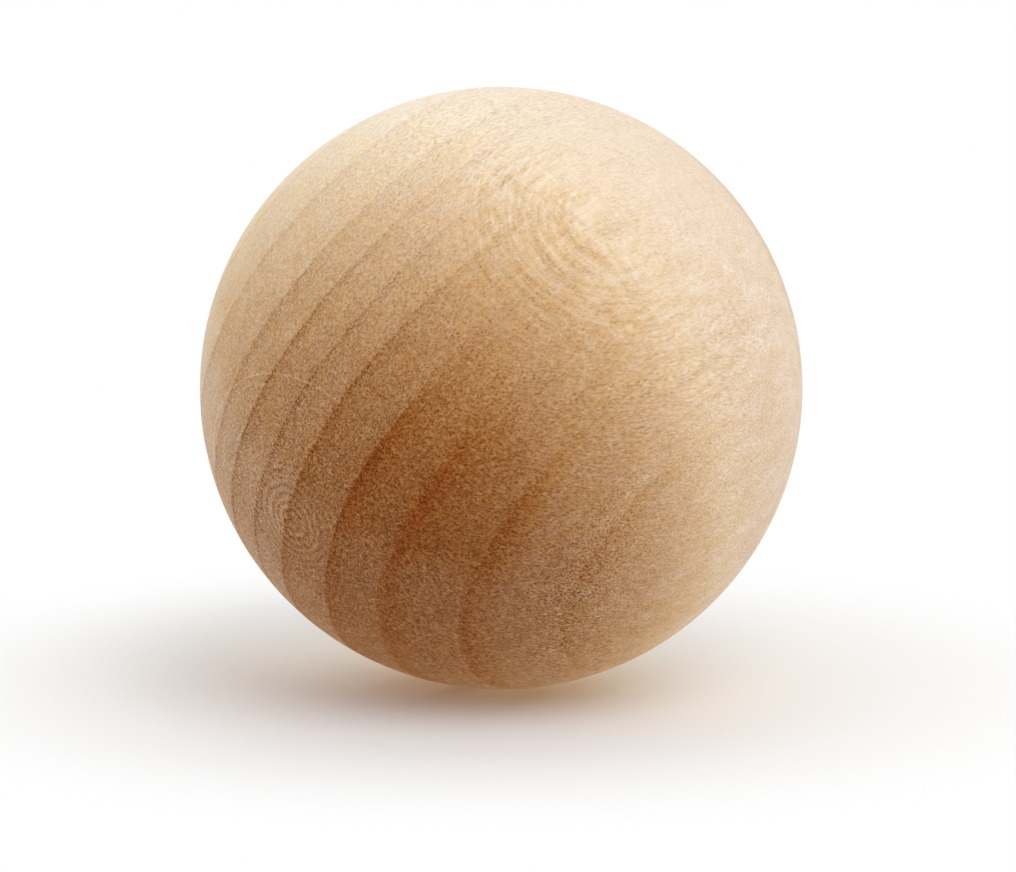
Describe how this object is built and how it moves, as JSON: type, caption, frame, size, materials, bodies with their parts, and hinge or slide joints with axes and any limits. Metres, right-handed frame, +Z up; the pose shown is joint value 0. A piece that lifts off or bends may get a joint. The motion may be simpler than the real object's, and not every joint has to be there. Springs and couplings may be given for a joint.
{
  "type": "wooden ball",
  "caption": "Plain solid turned wooden ball, smoothly sanded and bare of any finish.",
  "frame": {"origin": "centre of the ball", "axes": "+Z is up and -Y is the side first seen; the ball has no axis of its own, and its fibres lie slantwise to all three"},
  "size_m": [0.04, 0.04, 0.04],
  "materials": {
    "wood": "bare, fine sanded, matt"
  },
  "bodies": {
    "root": {"ball": "wood"}
  },
  "joints": []
}
